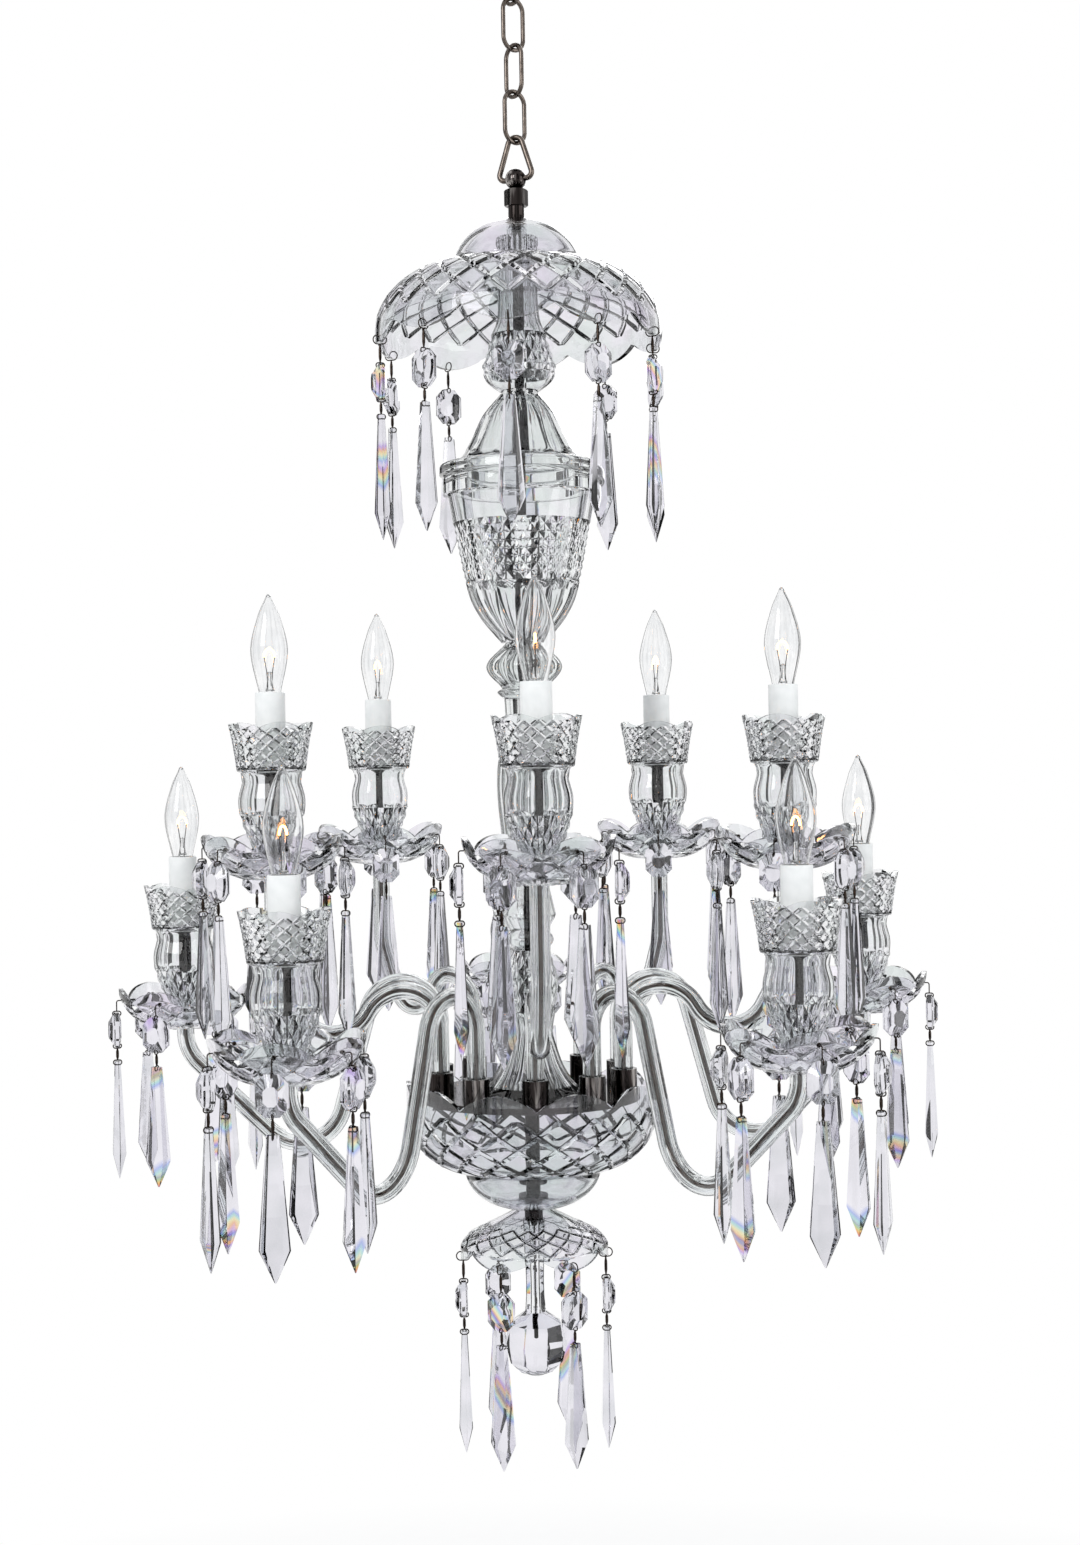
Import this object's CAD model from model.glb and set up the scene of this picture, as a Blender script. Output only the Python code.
"""Looks of a crystal chandelier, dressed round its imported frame.

The scene is in metres. Sizes below are in millimetres and pass through MM when a mesh is made.
+Z is up, the front looks along -Y, and an angle about the Z axis is counted from the front and
grows to the viewer's right. A piece's levels are read from the frame, so it sits where it is carried.
"""
import logging
import math
from collections.abc import Iterable, Sequence
from dataclasses import dataclass
from enum import Enum

import bmesh
import bpy
from mathutils import Matrix, Vector


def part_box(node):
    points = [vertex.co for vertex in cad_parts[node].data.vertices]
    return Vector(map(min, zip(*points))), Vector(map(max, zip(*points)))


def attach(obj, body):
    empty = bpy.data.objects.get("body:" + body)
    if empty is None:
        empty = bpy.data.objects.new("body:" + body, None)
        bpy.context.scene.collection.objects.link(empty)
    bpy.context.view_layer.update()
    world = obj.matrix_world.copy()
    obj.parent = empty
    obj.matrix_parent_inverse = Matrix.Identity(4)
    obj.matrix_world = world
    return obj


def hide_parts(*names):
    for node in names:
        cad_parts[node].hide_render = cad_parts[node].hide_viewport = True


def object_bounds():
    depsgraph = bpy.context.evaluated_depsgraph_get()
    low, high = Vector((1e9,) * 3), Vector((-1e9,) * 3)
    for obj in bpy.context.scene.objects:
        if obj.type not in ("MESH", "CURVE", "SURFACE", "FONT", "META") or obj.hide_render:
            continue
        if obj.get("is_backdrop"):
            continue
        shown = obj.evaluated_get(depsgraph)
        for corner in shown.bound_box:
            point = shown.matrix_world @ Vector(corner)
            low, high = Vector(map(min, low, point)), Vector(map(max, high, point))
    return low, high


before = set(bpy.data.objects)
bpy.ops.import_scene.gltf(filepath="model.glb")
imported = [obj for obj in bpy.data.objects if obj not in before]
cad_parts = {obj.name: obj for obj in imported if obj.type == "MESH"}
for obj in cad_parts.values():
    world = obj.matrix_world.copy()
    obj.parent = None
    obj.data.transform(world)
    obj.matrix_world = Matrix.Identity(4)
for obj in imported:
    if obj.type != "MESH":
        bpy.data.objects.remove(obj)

LOG = logging.getLogger("chandelier")
MM = 0.001
FULL_TURN = 360.0
BODY = "chandelier"                # carries all but the chain, the knob and the swinging strings
SEAT_CLEARANCE = 0.08              # between two glasses that stand on each other
ROD_HOLE_R = 4.5                   # bore of the glasses on the stem rod
SHARP_EDGE = math.radians(32.0)    # edges that turn more than this stay crisp; the rest is shaded smooth
SAME_POINT = 0.002                 # points that lie closer than this are one
WAVE_PERIOD = 2 * math.pi / 10     # of the wave texture at a scale of 1

Point = tuple[float, float, float]
Profile = list[tuple[float, float]]            # radius and height of each point of an outline
Shares = tuple[tuple[float, float], ...]       # radius, and share of a height, of each point
Ring = list[int]                               # numbers of the points of a closed ring
Tree = bpy.types.NodeTree
Socket = bpy.types.NodeSocket


# --- Colours and shader nodes -------------------------------------------------
def linear(hex_colour: str) -> tuple[float, float, float, float]:
    """Turns an sRGB hex colour into the linear colour that a shader takes.

    Args:
        hex_colour: A colour such as "#F4F1FA".

    Returns:
        Red, green, blue and an alpha of 1.
    """
    channels = [int(hex_colour[place:place + 2], 16) / 255.0 for place in (1, 3, 5)]
    red, green, blue = [c / 12.92 if c <= 0.04045 else ((c + 0.055) / 1.055) ** 2.4 for c in channels]
    return red, green, blue, 1.0


def add_node(tree: Tree, kind: str, inputs: dict | None = None, **settings) -> bpy.types.Node:
    """Adds one shader node with its settings, values and links.

    Args:
        tree: The node tree that gets the node.
        kind: The node's type name.
        inputs: What each input gets: a value, or the output socket to link to it.
        **settings: Properties set on the node itself.

    Returns:
        The new node.
    """
    node = tree.nodes.new(kind)
    for name, value in settings.items():
        setattr(node, name, value)
    for name, value in (inputs or {}).items():
        if isinstance(value, Socket):
            tree.links.new(value, node.inputs[name])
        else:
            node.inputs[name].default_value = value
    return node


def empty_tree(owner: bpy.types.Material | bpy.types.World) -> Tree:
    """Turns an owner's shader nodes on and clears them."""
    owner.use_nodes = True
    owner.node_tree.nodes.clear()
    return owner.node_tree


def set_ramp(node: bpy.types.Node, stops: Sequence[tuple[float, str]]) -> None:
    """Puts colour stops on a colour ramp.

    Args:
        node: The colour ramp.
        stops: Places from 0 to 1, each with an sRGB hex colour.
    """
    elements = node.color_ramp.elements
    while len(elements) < len(stops):
        elements.new(1.0)
    for element, (place, colour) in zip(elements, stops):
        element.position = place
        element.color = linear(colour)


# --- Finishes -----------------------------------------------------------------
DRIFT_START, DRIFT_SPAN = 0.32, 0.36           # part of the noise's range that the hues share
NOISE_LOW, NOISE_HIGH = 0.3, 0.7               # nearly all of the noise lies between them
GLOSS_GRAIN = 0.6                              # patches of gloss to patches of colour


@dataclass(frozen=True)
class Finish:
    """One real material and the way its surface was made."""

    name: str
    slot: str
    hues: tuple[str, ...]              # colours that the surface drifts between
    gloss: tuple[float, float]         # roughness of its smoothest and its dullest places
    grain_mm: float                    # size of a patch of the drift
    relief_mm: float = 0.0             # height of its bumps
    relief_grain_mm: float = 1.0
    sockets: tuple[tuple[str, float], ...] = ()
    lengthen: float = 1.0              # how much longer than wide a patch is, along the piece's height
    glow: tuple[str, float] | None = None

    def material(self) -> bpy.types.Material:
        """Builds the material once, and returns the same one after that."""
        known = bpy.data.materials.get(self.name)
        if known:
            return known
        material = bpy.data.materials.new(self.name)
        tree = empty_tree(material)
        place = add_node(tree, "ShaderNodeTexCoord").outputs["Object"]
        inputs = {"Base Color": self.colour(tree, place), "Roughness": self.roughness(tree, place)}
        inputs |= dict(self.sockets)
        if self.glow:
            inputs |= {"Emission Color": linear(self.glow[0]), "Emission Strength": self.glow[1]}
        if self.relief_mm:
            inputs["Normal"] = self.relief(tree, place)
        shader = add_node(tree, "ShaderNodeBsdfPrincipled", inputs)
        add_node(tree, "ShaderNodeOutputMaterial", {"Surface": shader.outputs["BSDF"]})
        return material

    def noise(self, tree: Tree, place: Socket, size_mm: float) -> Socket:
        """Cloudy noise whose patches have a real size.

        Args:
            tree: The material's node tree.
            place: Coordinates in metres.
            size_mm: Size of a patch.

        Returns:
            The noise, from 0 to 1.
        """
        if self.lengthen != 1.0:
            scale = (1.0, 1.0, 1.0 / self.lengthen)
            place = add_node(tree, "ShaderNodeMapping", {"Vector": place, "Scale": scale}).outputs["Vector"]
        inputs = {"Vector": place, "Scale": 1.0 / (size_mm * MM), "Detail": 3.0}
        return add_node(tree, "ShaderNodeTexNoise", inputs).outputs["Fac"]

    def colour(self, tree: Tree, place: Socket) -> Socket:
        """The surface's colour, drifting between its hues.

        Args:
            tree: The material's node tree.
            place: Coordinates in metres.

        Returns:
            The colour.
        """
        ramp = add_node(tree, "ShaderNodeValToRGB", {"Fac": self.noise(tree, place, self.grain_mm)})
        step = DRIFT_SPAN / max(len(self.hues) - 1, 1)
        set_ramp(ramp, [(DRIFT_START + step * index, hue) for index, hue in enumerate(self.hues)])
        return ramp.outputs["Color"]

    def roughness(self, tree: Tree, place: Socket) -> Socket:
        """The surface's roughness, drifting between its smoothest and its dullest.

        Args:
            tree: The material's node tree.
            place: Coordinates in metres.

        Returns:
            The roughness.
        """
        inputs = {
            "Value": self.noise(tree, place, self.grain_mm * GLOSS_GRAIN), "From Min": NOISE_LOW,
            "From Max": NOISE_HIGH, "To Min": self.gloss[0], "To Max": self.gloss[1],
        }
        return add_node(tree, "ShaderNodeMapRange", inputs).outputs["Result"]

    def relief(self, tree: Tree, place: Socket) -> Socket:
        """The normal that the surface's small bumps give."""
        inputs = {"Height": self.noise(tree, place, self.relief_grain_mm), "Distance": self.relief_mm * MM}
        return add_node(tree, "ShaderNodeBump", inputs).outputs["Normal"]


@dataclass(frozen=True)
class Spectral(Finish):
    """Clear glass whose colour turns through a spectrum in slanted streaks."""

    streaks: tuple[tuple[float, str], ...] = (
        (0.0, "#E6E5EC"), (0.46, "#F0EEF5"), (0.54, "#7F95E6"), (0.6, "#92D6C4"), (0.66, "#F2DF8A"),
        (0.72, "#EF9B66"), (0.78, "#A983DC"), (0.86, "#F0EEF5"), (1.0, "#E6E5EC"),
    )
    streak_mm: float = 150.0           # from one streak to the next
    lean: Point = (0.3, 0.5, 0.0)      # slant of the streaks, in radians
    waver: float = 1.2

    def colour(self, tree: Tree, place: Socket) -> Socket:
        """The glass's colour, from clear to a spectrum and back along each streak.

        Args:
            tree: The material's node tree.
            place: Coordinates in metres.

        Returns:
            The colour.
        """
        lean = add_node(tree, "ShaderNodeMapping", {"Vector": place, "Rotation": self.lean}).outputs["Vector"]
        scale = WAVE_PERIOD / (self.streak_mm * MM)
        inputs = {"Vector": lean, "Scale": scale, "Distortion": self.waver, "Detail": 0.0}
        wave = add_node(tree, "ShaderNodeTexWave", inputs, bands_direction="DIAGONAL")
        ramp = add_node(tree, "ShaderNodeValToRGB", {"Fac": wave.outputs["Fac"]})
        set_ramp(ramp, self.streaks)
        return ramp.outputs["Color"]


LEAD_GLASS = (("Transmission Weight", 1.0), ("IOR", 1.545))
LAMP_GLASS = (("Transmission Weight", 1.0), ("IOR", 1.46))
METAL = (("Metallic", 1.0),)

# Lead crystal, cut on a wheel and polished in acid: clear and cold, with sharp edges.
CUT_CRYSTAL = Finish("acid_polished_cut_crystal", "crystal", ("#EEF2F1", "#F6F5F8"), (0.0, 0.012), 18.0,
                     sockets=LEAD_GLASS)
# The same crystal where it is thick: grey-green at its edges and faintly violet in its panes.
THICK_CRYSTAL = Finish("thick_cut_crystal", "crystal", ("#E1E7E6", "#EEEAF2"), (0.0, 0.012), 40.0,
                       sockets=LEAD_GLASS)
# Lead crystal blown and turned in a mould: the same glass, with soft waves in its skin.
BLOWN_CRYSTAL = Finish("mould_blown_crystal", "crystal", ("#EBEFEE", "#F4F5F6"), (0.0, 0.02), 24.0,
                       0.05, 14.0, LEAD_GLASS)
# Lead crystal ground and fire-polished into prisms: clear, with a breath of violet.
PRISM_CRYSTAL = Finish("fire_polished_prism_crystal", "crystal", ("#D9DADF", "#F0EEF5"), (0.0, 0.01), 30.0,
                       sockets=LEAD_GLASS)
# The same prisms where they split the light: streaks of blue, green, gold and violet in clear glass.
SPECTRAL_CRYSTAL = Spectral("light_splitting_prism_crystal", "crystal", ("#E6E5EB", "#F3F1F7"), (0.0, 0.01),
                            30.0, sockets=LEAD_GLASS)
# Soda-lime lamp glass, blown thin and clear.
BULB_GLASS = Finish("blown_lamp_glass", "bulb_glass", ("#F4F5F6", "#FFFFFF"), (0.0, 0.04), 20.0,
                    sockets=LAMP_GLASS)
# Steel and brass plated in black nickel: a dark mirror with faint smears.
BLACK_NICKEL = Finish("plated_black_nickel", "dark_nickel", ("#2B2727", "#403B3A"), (0.07, 0.16), 12.0,
                      sockets=METAL)
# Turned brass plated in black nickel and buffed: darker, with bright upright buffing marks.
BUFFED_NICKEL = Finish("buffed_black_nickel", "dark_nickel", ("#1A1716", "#2A2625", "#332E2D", "#A39E9B"),
                       (0.06, 0.14), 7.0, sockets=METAL, lengthen=12.0)
# Chain wire plated in antique nickel: warmer and duller, rubbed bright where links touch.
ANTIQUE_NICKEL = Finish("rubbed_antique_nickel", "chain_nickel", ("#554E49", "#766D66"), (0.16, 0.3), 6.0,
                        0.03, 1.2, METAL)
# Drawn steel rod, blackened in oil.
BLACKENED_STEEL = Finish("oil_blackened_steel", "rod_steel", ("#080504", "#120D0B"), (0.2, 0.36), 8.0,
                         0.02, 0.8, METAL)
# Annealed pin wire, left dark.
PIN_WIRE = Finish("annealed_pin_wire", "pin_wire", ("#221C19", "#3D342E"), (0.22, 0.36), 3.0, sockets=METAL)
# Candle sleeve in extruded white polymer: even and satin, with a faint cool shade.
WHITE_SLEEVE = Finish("extruded_white_sleeve", "candle_white", ("#F2F4F3", "#FAFBFA"), (0.38, 0.5), 10.0,
                      0.02, 2.0)
# Socket in moulded phenolic: black, with a dull moulded skin.
PHENOLIC = Finish("moulded_phenolic", "holder_black", ("#171514", "#221F1D"), (0.4, 0.55), 4.0, 0.03, 0.7)
# Cover of the lamp wire, extruded in brown vinyl.
WIRE_VINYL = Finish("extruded_brown_vinyl", "wire_cover", ("#4A3A32", "#5C4A40"), (0.3, 0.42), 5.0)
# Tungsten coil at work: white-hot, with a warm edge.
HOT_TUNGSTEN = Finish("glowing_tungsten", "bulb_glass", ("#FFB060", "#FFC988"), (0.4, 0.5), 2.0,
                      glow=("#FFAA55", 14.0))
# Black felt on the studio's cards.
BLACK_FELT = Finish("black_felt_card", "crystal", ("#0C0D0E", "#161718"), (0.9, 1.0), 40.0)


# --- Meshes -------------------------------------------------------------------
class Draft:
    """Points and faces of one piece, in millimetres, before they become a mesh."""

    def __init__(self) -> None:
        """Starts an empty draft."""
        self.points: list[Point] = []
        self.faces: list[tuple[int, ...]] = []
        self.coats: list[int] = []

    def ring(self, points: Iterable[Point]) -> Ring:
        """Adds points and returns their numbers."""
        start = len(self.points)
        self.points.extend(points)
        return list(range(start, len(self.points)))

    def face(self, corners: Iterable[int], coat: int = 0) -> None:
        """Adds one face with one of the piece's finishes."""
        self.faces.append(tuple(corners))
        self.coats.append(coat)

    def strip(self, first: Ring, second: Ring, coat: int = 0, middles: Ring | None = None) -> None:
        """Closes the space between two rings of as many points.

        Args:
            first: One ring.
            second: The other ring.
            coat: Which of the piece's finishes the faces have.
            middles: A point for every cell, in which four facets meet, if a cell isn't one face.
        """
        count = len(first)
        for index in range(count):
            after = (index + 1) % count
            corners = (first[index], first[after], second[after], second[index])
            if not middles:
                self.face(corners, coat)
                continue
            for start, end in zip(corners, corners[1:] + corners[:1]):
                self.face((start, end, middles[index]), coat)

    def skin(self, levels: Iterable[Iterable[Point]], coat: int = 0, looped: bool = False) -> "Draft":
        """Covers rings of points that follow each other.

        Args:
            levels: The points of each ring.
            coat: Which of the piece's finishes the faces have.
            looped: Whether the last ring joins the first, as in a tube. If not, both ends get a face.

        Returns:
            This draft.
        """
        rings = [self.ring(points) for points in levels]
        for first, second in zip(rings, rings[1:]):
            self.strip(first, second, coat)
        if looped:
            self.strip(rings[-1], rings[0], coat)
        else:
            self.face(rings[0], coat)
            self.face(rings[-1], coat)
        return self

    def merge(self, other: "Draft", place: Matrix | None = None, coat: int = 0) -> None:
        """Takes in another draft.

        Args:
            other: The draft to copy.
            place: Where it goes, in millimetres.
            coat: Added to the number of each of its finishes.
        """
        shift = len(self.points)
        if place is None:
            self.points.extend(other.points)
        else:
            self.points.extend(tuple(place @ Vector(point)) for point in other.points)
        self.faces.extend(tuple(corner + shift for corner in corners) for corners in other.faces)
        self.coats.extend(number + coat for number in other.coats)

    def mesh(self, name: str, *finishes: Finish) -> bpy.types.Mesh:
        """Makes the mesh, with every face turned outward.

        Args:
            name: The mesh's name.
            *finishes: The finishes in its slots, in the order of the coats' numbers.

        Returns:
            The mesh.
        """
        mesh = bpy.data.meshes.new(name)
        mesh.from_pydata([(x * MM, y * MM, z * MM) for x, y, z in self.points], [], self.faces)
        mesh.polygons.foreach_set("material_index", self.coats)
        solid = bmesh.new()
        solid.from_mesh(mesh)
        bmesh.ops.remove_doubles(solid, verts=solid.verts, dist=SAME_POINT * MM)
        bmesh.ops.recalc_face_normals(solid, faces=solid.faces)
        solid.to_mesh(mesh)
        solid.free()
        mesh.set_sharp_from_angle(angle=SHARP_EDGE)
        for finish in finishes:
            mesh.materials.append(finish.material())
        return mesh


def show(mesh: bpy.types.Mesh, name: str, node: str, place: Matrix | None = None,
         body: str = BODY) -> None:
    """Puts a mesh in the scene as a piece that rides on a body.

    Args:
        mesh: The piece's mesh.
        name: The piece's name.
        node: The node that it stands for.
        place: Where it goes, in metres.
        body: The body that carries it.
    """
    piece = bpy.data.objects.new(name, mesh)
    bpy.context.scene.collection.objects.link(piece)
    if place is not None:
        piece.matrix_world = place
    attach(piece, body)
    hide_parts(node)
    LOG.info("%s rides on %s", name, body)


def top_of(node: str) -> float:
    """Height of a node's top, in millimetres."""
    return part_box(node)[1].z / MM


def foot_of(node: str) -> float:
    """Height of a node's foot, in millimetres."""
    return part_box(node)[0].z / MM


def room_of(node: str) -> tuple[float, float]:
    """Top and foot that a glass may have in the stack, clear of its neighbours."""
    return top_of(node) - SEAT_CLEARANCE, foot_of(node) + SEAT_CLEARANCE


def even_angles(count: int, turn: float = 0.0) -> list[float]:
    """Angles of an even pattern round the axis, in degrees."""
    return [turn + FULL_TURN / count * index for index in range(count)]


def facing(angle: float) -> Matrix:
    """Turn about the Z axis that brings a piece built along +X to an angle from the front."""
    return Matrix.Rotation(math.radians(angle - 90.0), 4, "Z")


def polar(radius: float, angle: float, z: float) -> Point:
    """The point at a radius and an angle from the front."""
    turn = math.radians(angle)
    return radius * math.sin(turn), -radius * math.cos(turn), z


def circle(radius: float, z: float, count: int) -> list[Point]:
    """Points on a level circle about the axis."""
    turns = (2 * math.pi * index / count for index in range(count))
    return [(radius * math.cos(turn), radius * math.sin(turn), z) for turn in turns]


def turned(side: Profile, count: int, looped: bool = False) -> Draft:
    """A solid turned about the axis. A looped outline closes on itself, as a tube's does."""
    return Draft().skin([circle(r, z, count) for r, z in side], looped=looped)


def swept(path: Sequence[Vector], radii: Sequence[float], sides: int, coat: int = 0) -> Draft:
    """A round bar or tube along a path in the XZ plane.

    Args:
        path: Its middle line.
        radii: Its outer radius, and its bore's radius if it is a tube.
        sides: Points round it.
        coat: Number of its finish.

    Returns:
        The closed solid.
    """
    stations = []
    for index, middle in enumerate(path):
        ahead = (path[min(index + 1, len(path) - 1)] - path[max(index - 1, 0)]).normalized()
        stations.append((middle, Vector((-ahead.z, 0.0, ahead.x))))
    levels = []
    for radius in radii:
        for middle, across in stations:
            round_it = circle(radius, 0.0, sides)
            levels.append([tuple(middle + across * x + Vector((0.0, y, 0.0))) for x, y, _ in round_it])
        stations.reverse()
    return Draft().skin(levels, coat, len(radii) > 1)


# --- Outlines -----------------------------------------------------------------
def levelled(points: Shares, start_z: float, end_z: float) -> Profile:
    """An outline whose heights are given as shares of the way between two levels."""
    return [(r, start_z + (end_z - start_z) * share) for r, share in points]


def quarter(start: tuple[float, float], end: tuple[float, float], sweep: float = 90.0,
            count: int = 24) -> Profile:
    """Points on an ellipse that leaves start level.

    Args:
        start: Radius and height of the first point.
        end: Radius and height of the last point.
        sweep: How far the ellipse is followed; 90 degrees reaches end upright.
        count: Number of points.

    Returns:
        The points from start to end.
    """
    full = math.radians(sweep)
    points = []
    for index in range(count):
        angle = full * index / (count - 1)
        r = start[0] + (end[0] - start[0]) * math.sin(angle) / math.sin(full)
        z = start[1] + (end[1] - start[1]) * (1.0 - math.cos(angle)) / (1.0 - math.cos(full))
        points.append((r, z))
    return points


def flowing(points: Sequence[tuple[float, float]], count: int = 8) -> Profile:
    """A smooth curve through points.

    Args:
        points: Radius and height of each point on the curve.
        count: Number of steps between two of them.

    Returns:
        The curve as short steps.
    """
    first = (2 * points[0][0] - points[1][0], 2 * points[0][1] - points[1][1])
    last = (2 * points[-1][0] - points[-2][0], 2 * points[-1][1] - points[-2][1])
    padded = [first, *points, last]
    curve = [points[0]]
    for index in range(1, len(padded) - 2):
        near = list(zip(*padded[index - 1:index + 3]))
        for t in (step / count for step in range(1, count + 1)):
            squares = [(2 * a - 5 * b + 4 * c - d) * t ** 2 for a, b, c, d in near]
            cubes = [(3 * b - a - 3 * c + d) * t ** 3 for a, b, c, d in near]
            lines = [2 * b + (c - a) * t for a, b, c, _ in near]
            curve.append(tuple(0.5 * sum(terms) for terms in zip(lines, squares, cubes)))
    return curve


def length_of(profile: Profile) -> float:
    """Length of an outline."""
    return sum(math.dist(a, b) for a, b in zip(profile, profile[1:]))


def along(profile: Profile, share: float) -> tuple[float, float, float, float]:
    """A point of a profile and the way its surface faces.

    Args:
        profile: Points of radius and height.
        share: Part of the profile's length, from 0 to 1.

    Returns:
        Radius, height, and the two parts of the unit vector to the left of the walk.
    """
    left = max(0.0, min(1.0, share)) * length_of(profile)
    for (r, z), (next_r, next_z) in zip(profile, profile[1:]):
        length = math.dist((r, z), (next_r, next_z))
        if left <= length:
            break
        left -= length
    else:
        left += length
    part = left / length
    return r + (next_r - r) * part, z + (next_z - z) * part, (z - next_z) / length, (next_r - r) / length


# --- Cuts ---------------------------------------------------------------------
class Cut(Enum):
    """Ways in which a turned glass is cut on the wheel."""

    PLAIN = "left as blown"
    LATTICE = "crossing mitres that leave flat diamonds"
    DIAMONDS = "crossing mitres that meet in points"
    FLUTES = "upright hollow flutes"


MITRED = (Cut.LATTICE, Cut.DIAMONDS)
FLUTE_END = 0.12                   # share of a flute's length that runs out


@dataclass(frozen=True)
class Band:
    """A stretch of a turned outside and the way it is cut."""

    profile: Profile
    cut: Cut = Cut.PLAIN
    repeats: int = 1               # of the pattern, round the piece
    rows: float = 1.0              # of the pattern, down the band
    depth: float = 0.0
    steps: int = 8                 # rings of points, where the cut doesn't say it
    mitre: float = 0.5             # half a mitre's width, as a share of the space between two

    def depth_at(self, x: float, y: float, share: float) -> float:
        """How deep the cut is at one place.

        Args:
            x: Place round the piece, counted in repeats of the pattern.
            y: Place down the band, counted in rows of the pattern.
            share: Place down the band, from 0 to 1.

        Returns:
            The depth, from 0 where the glass is untouched.
        """
        if self.cut in MITRED:
            nearest = min(abs(way - round(way)) for way in (x + y, x - y))
            return self.depth * max(0.0, 1.0 - nearest / self.mitre)
        if self.cut is Cut.FLUTES:
            part = x - math.floor(x)
            end = max(0.0, min(1.0, share / FLUTE_END, (1.0 - share) / FLUTE_END))
            return self.depth * 4.0 * part * (1.0 - part) * math.sqrt(end)
        return 0.0

    def ring_count(self, columns: int) -> int:
        """Number of steps down the band, so that every mitre lies on an edge."""
        return round(self.rows * columns / self.repeats) if self.cut in MITRED else self.steps


@dataclass(frozen=True)
class Lobes:
    """Round lobes of a scalloped rim."""

    count: int
    depth: float
    rim_r: float                   # inside of the rim
    turn: float = 0.0              # angle of the first lobe's middle
    land: float = 2.0              # level stretch at each tip
    stretch: float = 1.2           # how much flatter a lobe is than a full round

    def rise(self, angle: float) -> float:
        """How far the rim at an angle lies back from the lobes' tips.

        Args:
            angle: The angle, in degrees.

        Returns:
            The distance, from 0 at a tip.
        """
        half_pitch = 180.0 / self.count
        from_tip = abs((angle - self.turn + half_pitch) % (2 * half_pitch) - half_pitch)
        half = self.rim_r * math.sin(math.radians(half_pitch)) - self.land / 2
        side = (half + self.land / 2) * from_tip / half_pitch - self.land / 2
        if side <= 0:
            return 0.0
        chord = math.hypot(half, self.depth)
        arc_r = chord ** 2 / (2.0 * self.depth) * self.stretch
        away = math.sqrt(arc_r ** 2 - chord ** 2 / 4)
        centre_x = half / 2 - self.depth / chord * away
        centre_z = self.depth / 2 + half / chord * away
        return centre_z - math.sqrt(max(0.0, arc_r ** 2 - (side - centre_x) ** 2))


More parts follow.
